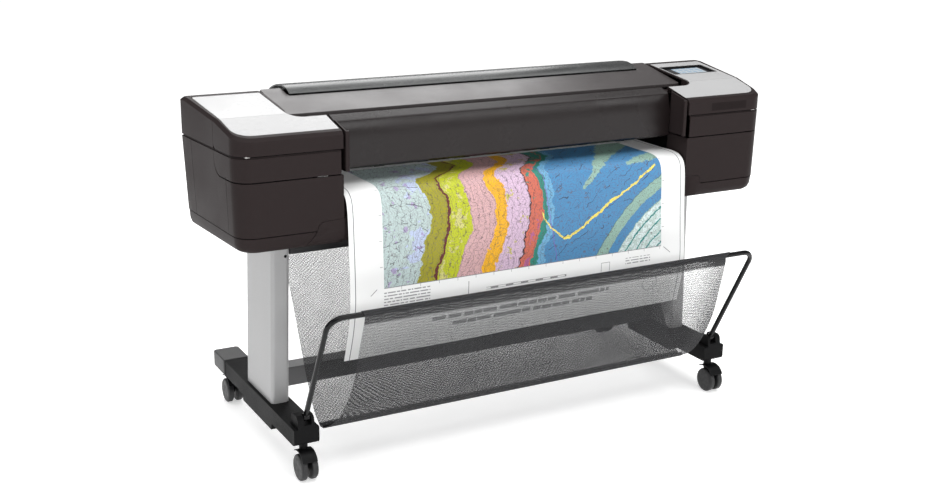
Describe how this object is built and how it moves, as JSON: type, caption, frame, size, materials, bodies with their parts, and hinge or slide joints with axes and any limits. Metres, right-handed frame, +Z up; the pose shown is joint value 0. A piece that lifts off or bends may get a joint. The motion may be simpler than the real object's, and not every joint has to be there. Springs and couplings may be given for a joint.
{
  "type": "large format plotter",
  "caption": "Wide roll-fed plotter on a wheeled two-leg stand, with end housings, lifting lids, a touch screen, a hanging printed sheet and a cloth basket on a bent rod.",
  "frame": {"origin": "on the floor, under the middle of the machine's outer box", "axes": "+X to the right along the paper's width, -Y to the front, +Z up"},
  "size_m": [1.7664, 0.8436, 1.0199],
  "materials": {
    "shell_plastic": "fine-textured warm charcoal plastic with a satin sheen",
    "lid_plastic": "fine-textured warm grey-brown plastic with a satin sheen",
    "silver_plastic": "pale silver painted plastic, satin",
    "black_plastic": "black moulded plastic",
    "foot_plastic": "dark grey textured plastic over the stand's feet",
    "leg_paint": "silver-grey satin powder coat",
    "frame_steel": "black coated sheet steel",
    "rod_paint": "black gloss paint",
    "screen_glass": null,
    "wheel_rubber": "dark grey rubber",
    "basket_mesh": "open grey woven mesh, half see-through",
    "media_paper": null,
    "hub_plastic": "blue moulded roll hubs on a black spindle"
  },
  "bodies": {
    "chassis": {"right_foot": "foot_plastic", "left_foot": "foot_plastic", "right_foot_end_cap": "foot_plastic", "left_foot_end_cap": "foot_plastic", "right_leg": "leg_paint", "left_leg": "leg_paint", "crossbar": "leg_paint", "basket_back_sheet": "basket_mesh", "basket_bottom_bar": "rod_paint", "right_bottom_pan": "shell_plastic", "left_bottom_pan": "shell_plastic", "right_side_shell": "shell_plastic", "left_side_shell": "shell_plastic", "right_front_band": "shell_plastic", "left_front_band": "shell_plastic", "right_top_cover": "shell_plastic", "left_top_cover": "shell_plastic", "right_rear_inlay": "silver_plastic", "left_rear_inlay": "silver_plastic", "right_pillar_trim": "lid_plastic", "left_pillar_trim": "lid_plastic", "ink_cartridge_1": "black_plastic", "ink_cartridge_2": "black_plastic", "ink_cartridge_3": "black_plastic", "ink_cartridge_4": "black_plastic", "display_frame": "black_plastic", "touch_screen": "screen_glass", "base_frame": "frame_steel", "output_guide": "shell_plastic", "rear_cover": "shell_plastic", "platen": "black_plastic", "carriage_rail": "frame_steel", "drive_belt": "wheel_rubber", "right_spindle_holder": "black_plastic", "left_spindle_holder": "black_plastic", "paper_sheet": "media_paper", "power_inlet": "black_plastic"},
    "basket": {"basket_frame": "rod_paint", "basket_front_sheet": "basket_mesh"},
    "lid": {"top_lid": "lid_plastic"},
    "cover": {"front_cover": "shell_plastic"},
    "right_ink_door": {"right_ink_cover": "shell_plastic", "right_front_inlay": "silver_plastic"},
    "left_ink_door": {"left_ink_cover": "shell_plastic", "left_front_inlay": "silver_plastic"},
    "roll_lid": {"roll_cover": "black_plastic"},
    "carriage": {"print_carriage": "black_plastic"},
    "roll": {"roll_spindle": "hub_plastic", "paper_roll": "media_paper"},
    "drive": {"drive_roller": "wheel_rubber"},
    "pinch": {"pinch_roller": "wheel_rubber"},
    "button": {"power_button": "silver_plastic"},
    "front_left_caster": {"front_left_caster_fork": "foot_plastic"},
    "front_left_caster_wheel_body": {"front_left_caster_wheel": "wheel_rubber"},
    "front_right_caster": {"front_right_caster_fork": "foot_plastic"},
    "front_right_caster_wheel_body": {"front_right_caster_wheel": "wheel_rubber"},
    "rear_left_caster": {"rear_left_caster_fork": "foot_plastic"},
    "rear_left_caster_wheel_body": {"rear_left_caster_wheel": "wheel_rubber"},
    "rear_right_caster": {"rear_right_caster_fork": "foot_plastic"},
    "rear_right_caster_wheel_body": {"rear_right_caster_wheel": "wheel_rubber"}
  },
  "joints": [
    {"name": "basket_fold", "type": "hinge", "parent": "chassis", "child": "basket", "pos_m": [0, -0.238, 0.1803], "axis": [1, 0, 0], "range_deg": [-24, 0]},
    {"name": "lid_hinge", "type": "hinge", "parent": "chassis", "child": "lid", "pos_m": [0, 0.1405, 1.003], "axis": [1, 0, 0], "range_deg": [-65, 0]},
    {"name": "front_cover_hinge", "type": "hinge", "parent": "chassis", "child": "cover", "pos_m": [0, -0.0665, 0.956], "axis": [1, 0, 0], "range_deg": [-75, 0]},
    {"name": "right_ink_cover_hinge", "type": "hinge", "parent": "chassis", "child": "right_ink_door", "pos_m": [0, -0.0859, 0.9846], "axis": [1, 0, 0], "range_deg": [-60, 0]},
    {"name": "left_ink_cover_hinge", "type": "hinge", "parent": "chassis", "child": "left_ink_door", "pos_m": [0, -0.0859, 0.9846], "axis": [1, 0, 0], "range_deg": [-60, 0]},
    {"name": "roll_cover_hinge", "type": "hinge", "parent": "chassis", "child": "roll_lid", "pos_m": [0, 0.0955, 1.001], "axis": [1, 0, 0], "range_deg": [0, 70]},
    {"name": "carriage_slide", "type": "slide", "parent": "chassis", "child": "carriage", "axis": [-1, 0, 0], "range_m": [0, 1.38]},
    {"name": "roll_spin", "type": "hinge", "parent": "chassis", "child": "roll", "pos_m": [0, 0.2575, 0.849], "axis": [1, 0, 0], "continuous": true},
    {"name": "drive_roller_spin", "type": "hinge", "parent": "chassis", "child": "drive", "pos_m": [0, 0.0205, 0.7746], "axis": [1, 0, 0], "continuous": true},
    {"name": "pinch_roller_spin", "type": "hinge", "parent": "chassis", "child": "pinch", "pos_m": [0, 0.0245, 0.7962], "axis": [1, 0, 0], "continuous": true},
    {"name": "power_button_press", "type": "slide", "parent": "chassis", "child": "button", "axis": [0, 0.1168, -0.9932], "range_m": [0, 0.0015], "stiffness_N_per_m": 400},
    {"name": "front_left_caster_swivel", "type": "hinge", "parent": "chassis", "child": "front_left_caster", "pos_m": [-0.6995, -0.2285, 0.095], "axis": [0, 0, 1], "continuous": true},
    {"name": "front_left_caster_roll", "type": "hinge", "parent": "front_left_caster", "child": "front_left_caster_wheel_body", "pos_m": [-0.6995, -0.2445, 0.0375], "axis": [1, 0, 0], "continuous": true},
    {"name": "front_right_caster_swivel", "type": "hinge", "parent": "chassis", "child": "front_right_caster", "pos_m": [0.6995, -0.2285, 0.095], "axis": [0, 0, 1], "continuous": true},
    {"name": "front_right_caster_roll", "type": "hinge", "parent": "front_right_caster", "child": "front_right_caster_wheel_body", "pos_m": [0.6995, -0.2445, 0.0375], "axis": [1, 0, 0], "continuous": true},
    {"name": "rear_left_caster_swivel", "type": "hinge", "parent": "chassis", "child": "rear_left_caster", "pos_m": [-0.6995, 0.3815, 0.095], "axis": [0, 0, 1], "continuous": true},
    {"name": "rear_left_caster_roll", "type": "hinge", "parent": "rear_left_caster", "child": "rear_left_caster_wheel_body", "pos_m": [-0.6995, 0.3655, 0.0375], "axis": [1, 0, 0], "continuous": true},
    {"name": "rear_right_caster_swivel", "type": "hinge", "parent": "chassis", "child": "rear_right_caster", "pos_m": [0.6995, 0.3815, 0.095], "axis": [0, 0, 1], "continuous": true},
    {"name": "rear_right_caster_roll", "type": "hinge", "parent": "rear_right_caster", "child": "rear_right_caster_wheel_body", "pos_m": [0.6995, 0.3655, 0.0375], "axis": [1, 0, 0], "continuous": true}
  ],
  "couplings": [
    {"joint": "drive_roller_spin", "follows": "roll_spin", "ratio": -5.0833},
    {"joint": "pinch_roller_spin", "follows": "roll_spin", "ratio": 7.625}
  ]
}
